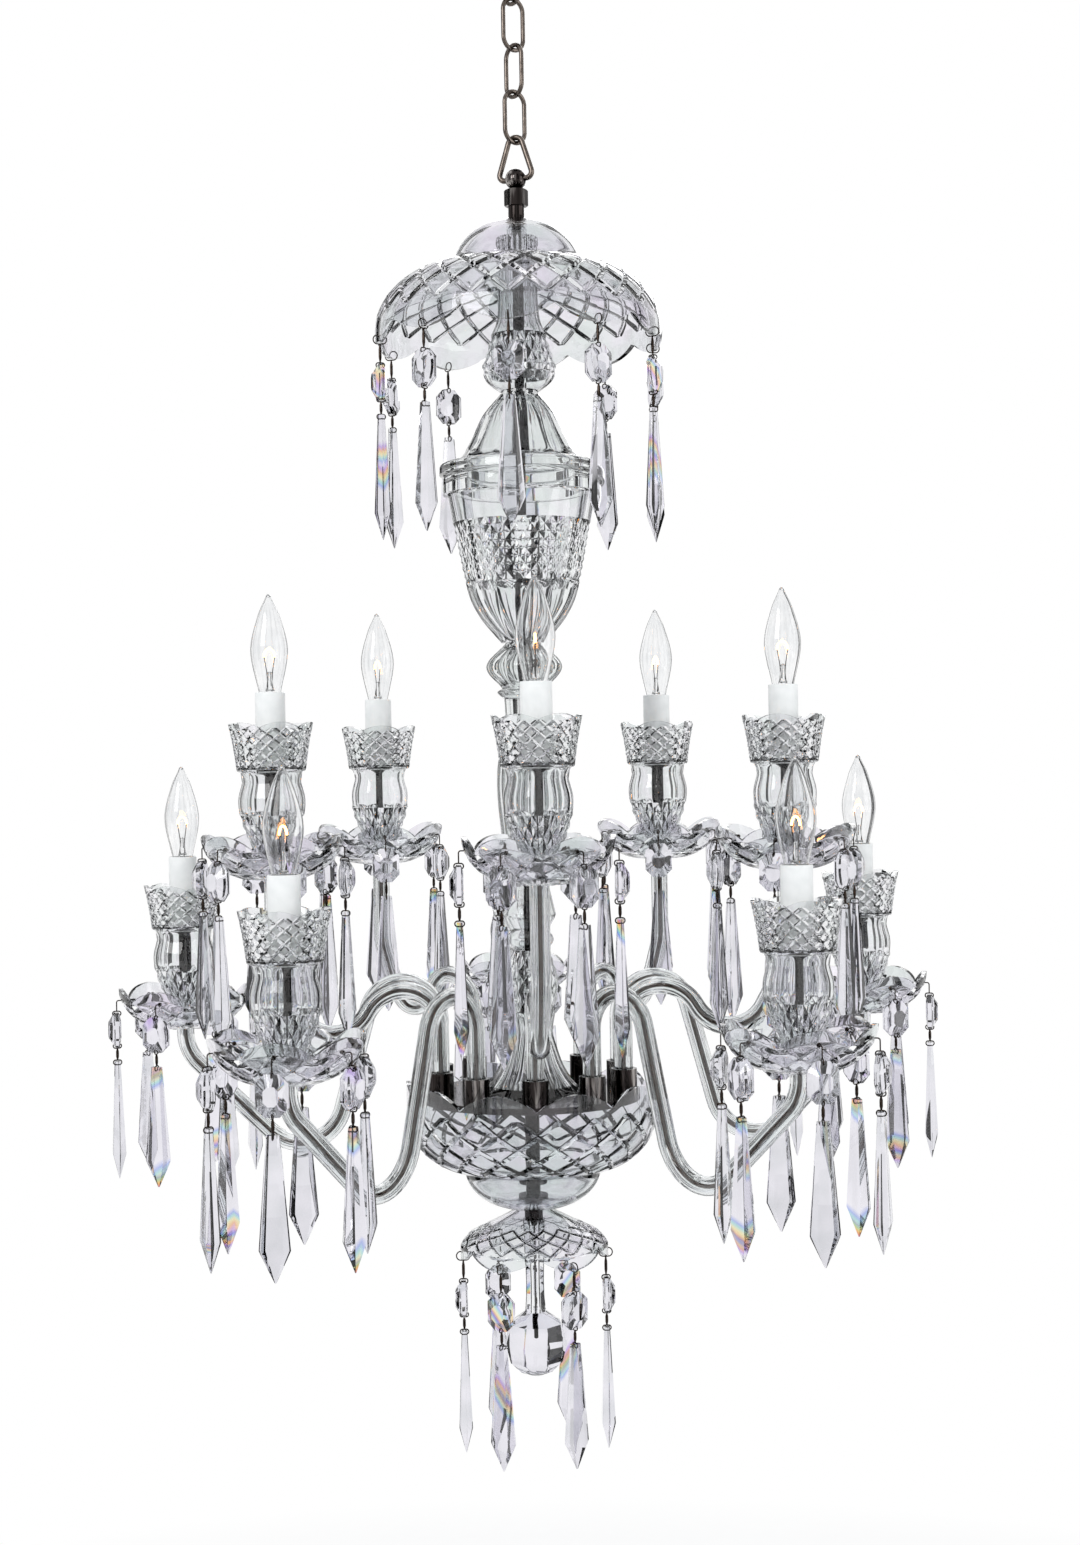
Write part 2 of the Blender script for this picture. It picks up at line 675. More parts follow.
@dataclass(frozen=True)
class TurnedGlass:
    """Glass that is turned about an axis, cut outside, and bored or hollow inside."""

    bands: tuple[Band, ...]        # from the seat to the rim
    columns: int                   # points round the piece
    bore_r: float
    turn: float = 0.0
    wall: float = 0.0              # of a hollow piece, inside its outline; 0 is a solid piece on the rod
    lobes: Lobes | None = None
    wall_steps: int = 14
    inner: Profile | None = None   # inside of a hollow piece from its rim, where it isn't even

    def rise(self, angle: float) -> float:
        """How far the rim lies back at an angle."""
        return self.lobes.rise(angle) if self.lobes else 0.0

    def point(self, band: Band, share: float, angle: float, inward: float, hand: float) -> Point:
        """A point on or under a band's outside.

        Args:
            band: The band.
            share: Place down it, from 0 to 1.
            angle: Place round it.
            inward: Distance under the outside.
            hand: 1 if the outside lies to the left of the walk, else -1.

        Returns:
            The point.
        """
        if band is self.bands[-1]:
            share *= 1.0 - self.rise(angle) / length_of(band.profile)
        r, z, face_r, face_z = along(band.profile, share)
        return polar(r - inward * face_r * hand, angle, z - inward * face_z * hand)

    def cut_ring(self, band: Band, step: float, hand: float, offset: float = 0.0) -> list[Point]:
        """Points round the piece at one level of a band, as deep as its cut.

        Args:
            band: The band.
            step: Number of steps down the band.
            hand: 1 if the outside lies to the left of the walk, else -1.
            offset: Turn of the points, in columns.

        Returns:
            The points.
        """
        share = step / band.ring_count(self.columns)
        pitch = band.repeats / self.columns
        points = []
        for column in range(self.columns):
            angle = self.turn + FULL_TURN / self.columns * (column + offset)
            depth = band.depth_at((column + offset) * pitch, step * pitch, share)
            points.append(self.point(band, share, angle, depth, hand))
        return points

    def outside(self, draft: Draft, hand: float) -> tuple[Ring, Ring]:
        """Adds the cut outside.

        Args:
            draft: The draft that gets it.
            hand: 1 if the outside lies to the left of the walk, else -1.

        Returns:
            Its first and its last ring.
        """
        first, last = [], []
        for band in self.bands:
            for step in range(band.ring_count(self.columns) + 1):
                ring = draft.ring(self.cut_ring(band, step, hand))
                middles = None
                if step and band.cut in MITRED:
                    middles = draft.ring(self.cut_ring(band, step - 0.5, hand, 0.5))
                if last:
                    draft.strip(last, ring, middles=middles)
                first = first or ring
                last = ring
        return first, last

    def inside(self, hand: float) -> list[list[Point]]:
        """Rings of points down the inside.

        Args:
            hand: 1 if the outside lies to the left of the walk, else -1.

        Returns:
            The rings, from the rim, or none if the piece is solid.
        """
        angles = even_angles(self.columns, self.turn)
        levels = []
        if self.inner:
            for step, (r, z) in enumerate(self.inner):
                fade = max(0.0, 1.0 - 3.0 * step / len(self.inner)) * hand
                levels.append([polar(r, angle, z + self.rise(angle) * fade) for angle in angles])
        elif self.wall:
            levels.append([self.lip_point(angle) for angle in angles])
            for band in reversed(self.bands):
                steps = max(3, min(self.wall_steps, len(band.profile)))
                for share in (step / steps for step in range(steps - 1, -1, -1)):
                    levels.append([self.point(band, share, angle, self.wall, hand) for angle in angles])
        return levels

    def draft(self) -> Draft:
        """The whole closed solid."""
        draft = Draft()
        hand = 1.0 if self.bands[0].profile[0][1] > self.bands[-1].profile[-1][1] else -1.0
        first, last = self.outside(draft, hand)
        rings = [last, *(draft.ring(points) for points in self.inside(hand))]
        for end in (rings[-1], first):
            level = draft.points[end[0]][2]
            angles = even_angles(self.columns, self.turn)
            rings.append(draft.ring([polar(self.bore_r, angle, level) for angle in angles]))
        for above, below in zip(rings, [*rings[1:], first]):
            draft.strip(above, below)
        return draft

    def lip_point(self, angle: float) -> Point:
        """A point of the rim's inner edge, level with the outer edge at the same angle."""
        x, y, z = self.point(self.bands[-1], 1.0, angle, 0.0, 1.0)
        face_r = along(self.bands[-1].profile, 1.0)[2]
        share = 1.0 - self.wall / abs(face_r) / math.hypot(x, y)
        return x * share, y * share, z


def hollow(outside: Profile, wall: float, bore_r: float, seat: float = 4.0) -> Profile:
    """Inside of a glass that closes to its bore at both ends.

    Args:
        outside: Its outline from the top to the foot.
        wall: Thickness of its wall.
        bore_r: Radius of the bore through its two ends.
        seat: Thickness of its ends.

    Returns:
        The inside from the foot to the top.
    """
    high, low = outside[0][1], outside[-1][1]
    room = [(max(r - wall, bore_r), z) for r, z in outside[::-1] if low + seat < z < high - seat]
    return [(bore_r, low), (bore_r, room[0][1]), *room, (bore_r, room[-1][1]), (bore_r, high)]


def show_glass(node: str, glass: TurnedGlass, finish: Finish) -> None:
    """Shows a turned glass in place of its node."""
    name = f"{node}_glass"
    show(glass.draft().mesh(name, finish), name, node)


# --- Canopies and bowl --------------------------------------------------------
@dataclass(frozen=True)
class Scalloped:
    """A glass with a lattice of mitres round its side and a rim of round lobes."""

    node: str
    radius: float                  # of the rim
    wall: float
    lobes: int
    lobe_depth: float
    turn: float                    # angle of a lobe's middle
    diamonds: int                  # of the lattice, round the glass
    rows: float                    # of diamonds
    mitre_depth: float
    mitre: float                   # half a mitre's width, as a share of the space between two
    columns: int                   # of points, to a diamond

    def bands(self) -> tuple[Band, ...]:
        """The glass's bands, from its seat to its rim."""
        raise NotImplementedError

    def lattice(self, profile: Profile) -> Band:
        """The band that holds the lattice."""
        return Band(profile, Cut.LATTICE, self.diamonds, self.rows, self.mitre_depth, mitre=self.mitre)

    def build(self) -> None:
        """Builds the glass."""
        lobes = Lobes(self.lobes, self.lobe_depth, self.radius - self.wall, self.turn)
        columns = self.diamonds * self.columns
        glass = TurnedGlass(self.bands(), columns, ROD_HOLE_R, self.turn, self.wall, lobes)
        show_glass(self.node, glass, THICK_CRYSTAL)


@dataclass(frozen=True)
class Canopy(Scalloped):
    """Plain dome over a scalloped shade."""

    seat_r: float = 9.0
    dome_r: float = 57.6
    dome_drop: float = 41.0
    dome_sweep: float = 84.0
    rim_band: float = 12.0
    cut_length: float = 0.82       # share of the shade that is cut

    def bands(self) -> tuple[Band, ...]:
        """Dome, cut shade and plain rim."""
        high, low = top_of(self.node) - SEAT_CLEARANCE, foot_of(self.node)
        shoulder = (self.dome_r, high - self.dome_drop)
        dome = quarter((self.seat_r, high), shoulder, self.dome_sweep)
        shade = quarter(shoulder, (self.radius, low + self.rim_band))
        cut_end = round(len(shade) * self.cut_length)
        rim = [*shade[cut_end:], (self.radius, low)]
        return Band(dome, steps=12), self.lattice(shade[:cut_end + 1]), Band(rim, steps=8)


@dataclass(frozen=True)
class LowerCanopy(Scalloped):
    """Small shade under the bowl: a cone that turns down at its shoulder."""

    side: Shares = ((13.0, 0.0), (36.96, 0.28), (58.08, 0.52))
    rim_band: float = 12.0
    cut: tuple[int, int] = (13, 34)        # first and last point of the cut stretch of the curve

    def bands(self) -> tuple[Band, ...]:
        """Plain seat, cut side and plain rim."""
        high, low = top_of(self.node) - SEAT_CLEARANCE, foot_of(self.node)
        side = flowing([*levelled(self.side, high, low), (self.radius, low + self.rim_band)], 12)
        start, end = self.cut
        rim = [*side[end:], (self.radius, low)]
        return Band(side[:start + 1], steps=6), self.lattice(side[start:end + 1]), Band(rim, steps=8)


@dataclass(frozen=True)
class Bowl(Scalloped):
    """Cut upper band over a plain round bottom."""

    seat_r: float = 13.5
    step_r: float = 61.0
    step_rise: float = 36.0
    upright: float = 0.75          # share of the height where the side turns upright
    rim_band: float = 21.0
    cut_start: int = 8

    def bands(self) -> tuple[Band, ...]:
        """Bottom, plain step, cut side and plain rim."""
        low, high = foot_of(self.node) + SEAT_CLEARANCE, top_of(self.node)
        step = (self.step_r, low + self.step_rise)
        bottom = quarter((self.seat_r, low), step)
        side = quarter(step, (self.radius, low + (high - low) * self.upright), count=32)
        edge = (self.radius, high - self.rim_band)
        start = self.cut_start
        return (Band(bottom, steps=18), Band(side[:start + 1], steps=6), self.lattice([*side[start:], edge]),
                Band([edge, (self.radius, high)], steps=6))


# --- Column -------------------------------------------------------------------
@dataclass(frozen=True)
class Column:
    """The stack of turned and cut glasses on the stem rod."""

    wall: float = 4.0
    collar_neck: float = 10.0
    collar_neck_r: float = 9.0
    collar_r: float = 19.0
    baluster_drop: float = 102.0   # to the belly
    baluster_side: Shares = ((18.4, 0.0), (18.4, 0.27), (19.504, 0.56), (24.472, 0.71), (33.8, 1.0))
    baluster_foot: Shares = ((33.8, 0.0), (29.068, 0.5), (13.6, 1.0))
    bell_side: Shares = ((18.0, 0.0), (33.39, 0.3), (42.93, 0.62), (53.0, 0.9), (63.6, 1.0))
    bell_inner_r: float = 48.5
    bell_wall: float = 4.5
    lid_r: float = 72.8
    lid_step: float = 3.0
    lid_height: float = 27.2
    lid_soft: float = 4.0          # rounding of its edges
    urn_side: Shares = ((20.0, 0.0), (40.685, 0.2))
    urn_waist_r: float = 51.5
    urn_waist_drop: float = 76.0
    urn_r: float = 66.0
    urn_wall: float = 6.0
    urn_belt: tuple[int, int] = (31, 43)   # first and last point of the belt on the curve
    knop_ball: Shares = ((16.0, 0.0), (34.0, 0.32), (20.0, 0.62))
    knop_ring: Shares = ((20.0, 0.62), (24.5, 0.68), (18.4, 0.77))
    knop_foot_r: float = 17.6
    middle_side: Shares = ((17.6, 0.0), (27.0, 0.35), (24.3, 0.7), (17.5, 1.0))
    lower_cup: Shares = ((17.5, 0.0), (24.6, 0.165))
    lower_ring: Shares = ((17.5, 0.235), (22.14, 0.28), (17.5, 0.325))
    lower_barrel: Shares = ((17.5, 0.325), (26.0, 0.478), (19.25, 0.72))
    lower_foot: Shares = ((19.25, 0.72), (29.04, 0.88), (44.0, 1.0))

    def build(self) -> None:
        """Builds the stack from its top to its foot."""
        self.collar()
        self.baluster()
        self.bell()
        self.urn()
        self.knop()
        self.middle()
        self.lower()

    def bored(self, outline: Profile, bands: tuple[Band, ...], columns: int) -> TurnedGlass:
        """A glass of the stack with an even wall that closes to the rod at both ends."""
        return TurnedGlass(bands, columns, ROD_HOLE_R, inner=hollow(outline, self.wall, ROD_HOLE_R))

    def collar(self) -> None:
        """Fluted glass collar under the canopy."""
        high, low = room_of("canopy_collar")
        waist = high - self.collar_neck
        neck = [(self.collar_neck_r, high), (self.collar_neck_r, waist), (self.collar_r, waist)]
        flutes = Band([(self.collar_r, waist), (self.collar_r, low)], Cut.FLUTES, 16, depth=1.4, steps=8)
        glass = TurnedGlass((Band(neck, steps=4), flutes), 128, ROD_HOLE_R)
        show_glass("canopy_collar", glass, CUT_CRYSTAL)

    def baluster(self) -> None:
        """Tall fluted neck over a belly cut with diamonds."""
        high, low = room_of("upper_baluster")
        belly_z = high - self.baluster_drop
        side = flowing(levelled(self.baluster_side, high, belly_z))
        under = flowing(levelled(self.baluster_foot, belly_z, low))
        bands = (
            Band(side[:25], Cut.FLUTES, 10, depth=1.0, steps=24),
            Band(side[24:] + under[1:5], Cut.DIAMONDS, 16, 2.0, 3.0),
            Band(under[4:], steps=10),
        )
        show_glass("upper_baluster", self.bored(side + under[1:], bands, 160), CUT_CRYSTAL)

    def bell(self) -> None:
        """Fluted bell with a stepped, rounded rim."""
        high, low = room_of("bell_cover")
        rim_z = low + self.lid_height
        step_z = rim_z - self.lid_height / 2
        step_r, soft_r = self.lid_r - self.lid_step, self.lid_r - self.lid_soft
        side = flowing(levelled(self.bell_side, high, rim_z), 6)
        over = quarter((soft_r, rim_z), (self.lid_r, rim_z - self.lid_soft), count=7)
        under = quarter((self.lid_r, step_z + self.lid_soft), (soft_r, step_z), count=7)
        rim = [side[-1], *over, *under, (step_r, step_z), (step_r, low)]
        inner = [(self.bell_inner_r, low), (self.bell_inner_r, rim_z)]
        inner += [(max(r - self.bell_wall, ROD_HOLE_R + 1.0), z) for r, z in side[-5:0:-1]]
        bands = (Band(side, Cut.FLUTES, 12, depth=1.3, steps=24), Band(rim, steps=40))
        show_glass("bell_cover", TurnedGlass(bands, 120, ROD_HOLE_R, inner=inner), BLOWN_CRYSTAL)

    def urn(self) -> None:
        """Urn with a belt of small diamonds over long flutes."""
        high, low = room_of("urn")
        waist = (self.urn_waist_r, high - self.urn_waist_drop)
        side = flowing([*levelled(self.urn_side, low, high), waist, (self.urn_r, high)], 16)
        start, end = self.urn_belt
        bands = (
            Band(side[:start + 1], Cut.FLUTES, 12, depth=2.2, steps=26),
            Band(side[start:end + 1], Cut.DIAMONDS, 30, 4.0, 2.1),
            Band(side[end:], steps=8),
        )
        show_glass("urn", TurnedGlass(bands, 120, ROD_HOLE_R, wall=self.urn_wall), CUT_CRYSTAL)

    def knop(self) -> None:
        """Fluted knop with a ring under it."""
        high, low = room_of("knop")
        ball = flowing(levelled(self.knop_ball, high, low), 12)
        ring = flowing(levelled(self.knop_ring, high, low))
        foot = (self.knop_foot_r, low)
        bands = (
            Band(ball, Cut.FLUTES, 12, depth=2.0, steps=24),
            Band(ring, steps=14),
            Band([ring[-1], foot], steps=4),
        )
        show_glass("knop", self.bored([*ball, *ring[1:], foot], bands, 96), BLOWN_CRYSTAL)

    def middle(self) -> None:
        """Slender fluted pillar."""
        side = flowing(levelled(self.middle_side, *room_of("middle_column")), 12)
        bands = (Band(side, Cut.FLUTES, 10, depth=2.0, steps=36),)
        show_glass("middle_column", self.bored(side, bands, 80), BLOWN_CRYSTAL)

    def lower(self) -> None:
        """Cup, ring and diamond-cut barrel on a flared foot."""
        room = room_of("lower_column")
        ring = flowing(levelled(self.lower_ring, *room))
        cup = [*flowing(levelled(self.lower_cup, *room), 6), ring[0]]
        barrel = flowing(levelled(self.lower_barrel, *room), 12)
        foot = flowing(levelled(self.lower_foot, *room))
        bands = (
            Band(cup, steps=12),
            Band(ring, steps=14),
            Band(barrel[:20], Cut.DIAMONDS, 12, 3.0, 2.6),
            Band(barrel[19:] + foot[1:], Cut.FLUTES, 12, depth=2.0, steps=24),
        )
        show_glass("lower_column", self.bored(cup + ring[1:] + barrel[1:] + foot[1:], bands, 96), CUT_CRYSTAL)


# --- Drop stem, ball and rod --------------------------------------------------
@dataclass(frozen=True)
class DropStemAndBall:
    """Panelled stem over a faceted ball."""

    stem_side: Shares = ((10.5, 0.0), (8.6, 0.7), (9.975, 1.0))
    panels: int = 8
    bore_r: float = 2.1
    ball_r: float = 29.5
    facets: int = 8
    tilts: tuple[float, ...] = (54.0, 88.0, 122.0, 150.0, 168.0)     # of the belts' edges, from the top

    def build(self) -> None:
        """Builds the stem and the ball."""
        side = flowing(levelled(self.stem_side, *room_of("drop_stem")), 4)
        stem = TurnedGlass((Band(side, steps=6),), self.panels, self.bore_r, 180.0 / self.panels)
        show_glass("drop_stem", stem, CUT_CRYSTAL)
        show(self.ball().mesh("ball_glass", PRISM_CRYSTAL), "ball_glass", "ball_finial")

    def ball(self) -> Draft:
        """A ball ground to belts of broad facets, with a flat seat and a flat foot."""
        seat_r = self.stem_side[-1][0]
        centre_z = top_of("ball_finial") - SEAT_CLEARANCE - math.sqrt(self.ball_r ** 2 - seat_r ** 2)
        levels = []
        for tilt in (math.asin(seat_r / self.ball_r), *(math.radians(tilt) for tilt in self.tilts)):
            radius, z = self.ball_r * math.sin(tilt), centre_z + self.ball_r * math.cos(tilt)
            levels.append([polar(radius, a, z) for a in even_angles(self.facets, 180.0 / self.facets)])
        return Draft().skin(levels)


@dataclass(frozen=True)
class StemRod:
    """Rod that carries the glasses, with a slender pin through the drop stem."""

    rod_r: float = 4.25
    pin_r: float = 1.9
    taper: float = 6.0
    chamfer: float = 0.6

    def build(self) -> None:
        """Builds the rod."""
        high, low, shoulder = top_of("stem_rod"), foot_of("stem_rod"), top_of("drop_stem")
        side = [
            (self.rod_r - self.chamfer, high), (self.rod_r, high - self.chamfer), (self.rod_r, shoulder),
            (self.pin_r, shoulder - self.taper), (self.pin_r, low + self.chamfer),
            (self.pin_r - self.chamfer, low),
        ]
        show(turned(side, 32).mesh("stem_rod_bar", BLACKENED_STEEL), "stem_rod_bar", "stem_rod")


# --- Arms ---------------------------------------------------------------------
@dataclass(frozen=True)
class Tier:
    """One tier of arms and candle units."""

    name: str
    reach: float                   # of its pans
    turn: float                    # angle of its first arm
    trough_drop: float             # from the top of the arch to the bottom of the trough
    trough_r: float
    fall: float                    # steepest slope down, in degrees
    climb: float                   # steepest slope up


UPPER_TIER = Tier("upper", reach=232.0, turn=0.0, trough_drop=35.0, trough_r=34.0, fall=58.0, climb=62.0)
LOWER_TIER = Tier("lower", reach=335.0, turn=36.0, trough_drop=149.0, trough_r=45.0, fall=74.0, climb=41.0)
ARMS_TO_A_TIER = 5


@dataclass(frozen=True)
class Arms:
    """Swan-neck glass tubes with a lamp wire inside each."""

    radius: float = 8.0
    bore_r: float = 3.7
    wire_r: float = 1.8
    wire_rise: float = 95.0        # over the pan's foot
    cup_floor: float = 2.0
    circle_r: float = 85.0         # of the arms' feet
    arch_r: float = 35.0
    arch_rise: float = 102.0
    tip_r: float = 36.0
    bend_step: float = 6.0         # degrees from one point of a bend to the next

    def build(self) -> None:
        """Builds both tiers."""
        foot_z = top_of("arm_plate") + self.cup_floor + SEAT_CLEARANCE
        wires = Draft()
        for tier in (UPPER_TIER, LOWER_TIER):
            end_z = foot_of(f"{tier.name}_drip_pans") - SEAT_CLEARANCE
            tube = swept(self.route(tier, foot_z, end_z), (self.radius, self.bore_r), 28)
            mesh = tube.mesh(f"{tier.name}_arm", BLOWN_CRYSTAL)
            wire = swept(self.route(tier, foot_of("arm_plate"), end_z + self.wire_rise), (self.wire_r,), 12)
            for number, angle in enumerate(even_angles(ARMS_TO_A_TIER, tier.turn), 1):
                show(mesh, f"{tier.name}_arm_{number}", f"{tier.name}_arms", place=facing(angle))
                wires.merge(wire, facing(angle))
        show(wires.mesh("arm_wire_covers", WIRE_VINYL), "arm_wire_covers", "arm_wires")

    def route(self, tier: Tier, foot_z: float, end_z: float) -> list[Vector]:
        """Close points on the middle line of a tier's arm.

        Args:
            tier: The tier.
            foot_z: Height of its start.
            end_z: Height of its end.

        Returns:
            Points in the XZ plane, from the arm plate to the pan.
        """
        fall, climb = math.radians(tier.fall), math.radians(tier.climb)
        bends_r = self.arch_r + tier.trough_r
        falling = (tier.trough_drop - bends_r * (1.0 - math.cos(fall))) / math.sin(fall)
        trough_x = self.circle_r + self.arch_r + bends_r * math.sin(fall) + falling * math.cos(fall)
        tip_x = trough_x + tier.trough_r * math.sin(climb) + self.tip_r * (1.0 - math.sin(climb))
        rising = foot_of("arm_plate") + self.arch_rise - self.arch_r - foot_z
        moves = (
            (rising, self.arch_r, -90.0 - tier.fall), (falling, tier.trough_r, tier.fall + tier.climb),
            ((tier.reach - tip_x) / math.cos(climb), self.tip_r, 90.0 - tier.climb),
        )
        path = [Vector((self.circle_r, 0.0, foot_z))]
        heading = 90.0
        for straight, radius, turn in moves:
            count = max(2, round(abs(turn) / self.bend_step))
            chord = 2.0 * radius * math.sin(math.radians(abs(turn) / count / 2))
            for step, swing in [(straight / 3, 0.0)] * 3 + [(chord, turn / count)] * count:
                way = math.radians(heading + swing / 2)
                path.append(path[-1] + Vector((math.cos(way), 0.0, math.sin(way))) * step)
                heading += swing
        if end_z > path[-1].z + 0.01:
            path.append(Vector((path[-1].x, 0.0, end_z)))
        else:
            path[-1].z = end_z
        return path


# --- Candle units -------------------------------------------------------------
@dataclass(frozen=True)
class CandleUnit:
    """Drip pan, vase with its crown, lamp rod, sleeve and bulb of one arm."""

    pan_r: float = 61.0
    pan_height: float = 39.0
    boss_r: float = 15.0
    boss_height: float = 20.0
    pan_wall: float = 4.0
    pan_lobe_depth: float = 12.0
    pan_cuts: tuple[int, int] = (12, 24)   # ends of the leaves and of the belt on the pan's curve
    lobes: int = 6
    belly_rise: float = 46.0
    vase_side: Shares = ((14.0, 0.0), (24.51, 0.5), (28.5, 1.0))    # from its foot to its belly
    waist_r: float = 25.0
    waist_rise: float = 63.0
    mouth_r: float = 36.3
    crown_rise: float = 73.0
    crown_edge: float = 4.6
    vase_height: float = 114.0
    vase_wall: float = 3.6
    vase_lobe_depth: float = 5.0
    rod_r: float = 4.2
    rod_bore_r: float = 4.45
    nut_r: float = 6.5
    nut_height: float = 7.0
    cap_height: float = 6.0
    sleeve_r: float = 12.75
    sleeve_wall: float = 1.2
    sleeve_rise: float = 95.0
    sleeve_length: float = 65.0
    sleeve_soft: float = 0.4               # rounding of its ends
    bulb_r: float = 16.0
    bulb_length: float = 84.0
    bulb_side: Shares = ((9.5, 0.0), (16.0, 0.42), (9.92, 0.76))
    bulb_wall: float = 0.5
    socket_r: float = 6.8
    socket_depth: int = 21

    def lobe_turn(self) -> float:
        """Angle of a lobe's middle; a valley looks straight out from the chandelier's axis."""
        return 90.0 + 180.0 / self.lobes

    def bulb_seat(self) -> float:
        """Height of the sleeve's top, where the bulb's glass starts."""
        return self.sleeve_rise + self.sleeve_length

    def pan(self) -> Draft:
        """Scalloped dish whose underside is cut in broad leaves."""
        side = quarter((self.boss_r, SEAT_CLEARANCE), (self.pan_r, self.pan_height), count=32)
        leaf_end, belt_end = self.pan_cuts
        bands = (
            Band(side[:leaf_end + 1], Cut.FLUTES, 12, depth=1.3, steps=10),
            Band(side[leaf_end:belt_end + 1], Cut.LATTICE, 12, 1.0, 1.8, mitre=0.15),
            Band(side[belt_end:], steps=10),
        )
        wall = self.pan_wall
        inner = [(self.pan_r - wall, self.pan_height)]
        inner += [(r - wall * 0.8, z + wall * 0.6) for r, z in side[26:9:-1]]
        inner.append((self.boss_r * 1.3, self.boss_height * 0.8))
        inner.append((self.boss_r, self.boss_height - SEAT_CLEARANCE))
        lobes = Lobes(self.lobes, self.pan_lobe_depth, self.pan_r - wall, self.lobe_turn())
        return TurnedGlass(bands, 96, self.rod_bore_r, self.lobe_turn(), lobes=lobes, inner=inner).draft()

    def vase(self) -> Draft:
        """Vase with a diamond-cut foot, fluted waist and cut crown."""
        foot = self.boss_height + SEAT_CLEARANCE
        waist = (self.waist_r, foot + self.waist_rise)
        edge_r, edge_z = self.waist_r + self.crown_edge, foot + self.crown_rise
        mouth = (self.mouth_r, foot + self.vase_height)
        lower = flowing([*levelled(self.vase_side, foot, foot + self.belly_rise), waist], 12)
        neck = flowing([waist, (self.waist_r + 1.2, edge_z - 1.5)], 4)
        bulge = ((edge_r + self.mouth_r) / 2 - 0.6, (edge_z + mouth[1]) / 2)
        crown = flowing([(edge_r, edge_z + 1.0), bulge, mouth], 12)
        bands = (
            Band(lower[:19], Cut.DIAMONDS, 16, 2.0, 2.4),
            Band(lower[18:] + neck[1:], Cut.FLUTES, 8, depth=1.1, steps=22),
            Band([neck[-1], (edge_r, edge_z), crown[0]], steps=3),
            Band(crown[:22], Cut.LATTICE, 18, 3.5, 2.5, mitre=0.2),
            Band(crown[21:], steps=3),
        )
        turn = self.lobe_turn()
        lobes = Lobes(self.lobes, self.vase_lobe_depth, self.mouth_r - self.vase_wall, turn)
        return TurnedGlass(bands, 144, self.rod_bore_r, turn, self.vase_wall, lobes, 10).draft()

    def rod(self) -> Draft:
        """Lamp rod with its hexagonal nut and flared cap."""
        rod_r, cap_r, cap_z = self.rod_r, self.sleeve_r, self.sleeve_rise
        cap_low = cap_z - self.cap_height
        draft = turned([
            (rod_r, 0.0), (rod_r, cap_low), (rod_r + 1.0, cap_low), (rod_r + 1.6, cap_low + 1.5),
            (cap_r - 2.0, cap_z - 2.2), (cap_r, cap_z - 1.4), (cap_r, cap_z - 0.4), (cap_r - 0.4, cap_z),
        ], 32)
        low = self.boss_height + self.vase_wall + 0.2
        high, soft = low + self.nut_height, self.nut_r * 0.08
        draft.merge(turned([
            (self.nut_r - soft * 2, low), (self.nut_r, low + soft), (self.nut_r, high - soft),
            (self.nut_r - soft * 2, high), (self.rod_r, high), (self.rod_r, low),
        ], 6, looped=True))
        return draft

    def sleeve(self) -> Draft:
        """White tube with softened ends."""
        soft, low, high = self.sleeve_soft, self.sleeve_rise, self.bulb_seat()
        outer_r, inner_r = self.sleeve_r, self.sleeve_r - self.sleeve_wall
        return turned([
            (inner_r + soft, low), (outer_r - soft, low), (outer_r, low + soft), (outer_r, high - soft),
            (outer_r - soft, high), (inner_r + soft, high), (inner_r, high - soft), (inner_r, low + soft),
        ], 48, looped=True)

    def bulb(self) -> Draft:
        """Torpedo bulb: thin glass, a glass mount, two lead wires and a glowing coil."""
        seat = self.bulb_seat()
        top, mount_top, coil_z = (seat + self.bulb_length * share for share in (1.0, 0.2, 0.36))
        side = flowing([*levelled(self.bulb_side, seat, top), (self.bulb_r * 0.16, top - 3.0)], 10)
        inside = [(max(r - self.bulb_wall, 0.1), z) for r, z in side]
        inside.append((0.12, inside[-1][1] + 1.0))
        tip = [(0.12, top), (self.bulb_r * 0.05, top - 0.3), (self.bulb_r * 0.11, top - 1.2)]
        draft = turned([*tip, *side[::-1], *inside], 40)
        stem = [(4.2, seat + 0.8), (3.0, seat + 5.0), (1.6, mount_top - 2.0), (2.2, mount_top)]
        draft.merge(turned([*stem, (0.4, mount_top + 1.2)], 16))
        for hand in (-1.0, 1.0):
            lead = ((hand * 1.6, seat + 3.0), (hand * 2.4, mount_top), (hand * 4.6, coil_z))
            draft.merge(swept([Vector((x, 0.0, z)) for x, z in lead], (0.35,), 8), coat=1)
        draft.merge(swept(arc((0.0, coil_z), (4.6, 7.0), 180.0, 12), (0.9,), 8), coat=2)
        return draft

    def cap(self) -> Draft:
        """The bulb's threaded metal cap inside the socket."""
        foot = self.bulb_seat() - self.socket_depth
        ridges = [(self.socket_r - 0.4 * (step % 2), foot + step) for step in range(self.socket_depth)]
        return turned([(2.0, foot - 1.0), *ridges], 24)


def arc(centre: tuple[float, float], radii: tuple[float, float], sweep: float, steps: int) -> list[Vector]:
    """Points in the XZ plane on an arc that starts along +X and climbs.

    Args:
        centre: Its middle's x and z.
        radii: Its half width and half height.
        sweep: How far it goes, in degrees.
        steps: Steps from its first point to its last.

    Returns:
        The points.
    """
    turns = (math.radians(sweep) * step / steps for step in range(steps + 1))
    return [
        Vector((centre[0] + radii[0] * math.cos(turn), 0.0, centre[1] + radii[1] * math.sin(turn)))
        for turn in turns
    ]


